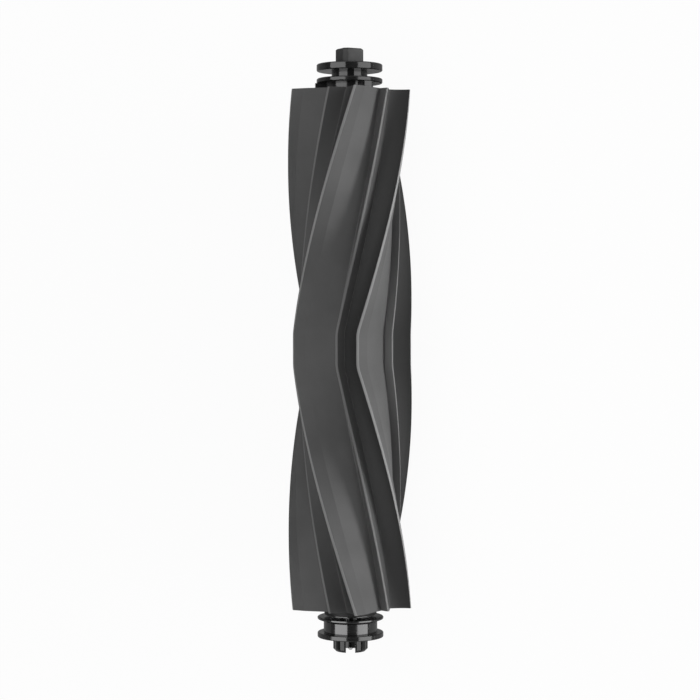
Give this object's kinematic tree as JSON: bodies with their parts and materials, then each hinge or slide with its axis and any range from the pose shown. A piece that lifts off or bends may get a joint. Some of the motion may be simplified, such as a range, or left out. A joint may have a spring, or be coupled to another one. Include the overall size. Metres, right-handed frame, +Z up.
{
  "type": "robot vacuum roller brush",
  "caption": "Rubber roller brush for a robot vacuum, with twisted V-shaped vanes, a square drive peg at one end and a bearing spool at the other.",
  "frame": {"origin": "on the spin axis, in the middle of the rubber sleeve", "axes": "+Y along the spin axis towards the square drive peg, +Z up, with the axis level as it lies in the brush bay"},
  "size_m": [0.039, 0.19, 0.039],
  "materials": {
    "vane_rubber": "satin dark grey",
    "core_plastic": "matt black",
    "end_plastic": "glossy black",
    "axle_steel": "bright turned steel",
    "bearing_steel": "ground steel",
    "cage_plastic": "natural nylon"
  },
  "bodies": {
    "roller": {"rubber_sleeve": "vane_rubber", "core_tube": "core_plastic", "drive_end_cap": "end_plastic", "idle_end_plug": "end_plastic", "axle_pin": "axle_steel", "bearing_inner_ring": "bearing_steel"},
    "idle_cap": {"bearing_cap": "end_plastic", "bearing_outer_ring": "bearing_steel", "bearing_balls": "bearing_steel", "bearing_cage": "cage_plastic", "bearing_shield_roller_side": "bearing_steel", "bearing_shield_hub_side": "bearing_steel"}
  },
  "joints": [
    {"name": "cap_spin", "type": "hinge", "parent": "roller", "child": "idle_cap", "pos_m": [0, -0.08685, 0], "axis": [0, 1, 0], "continuous": true}
  ]
}
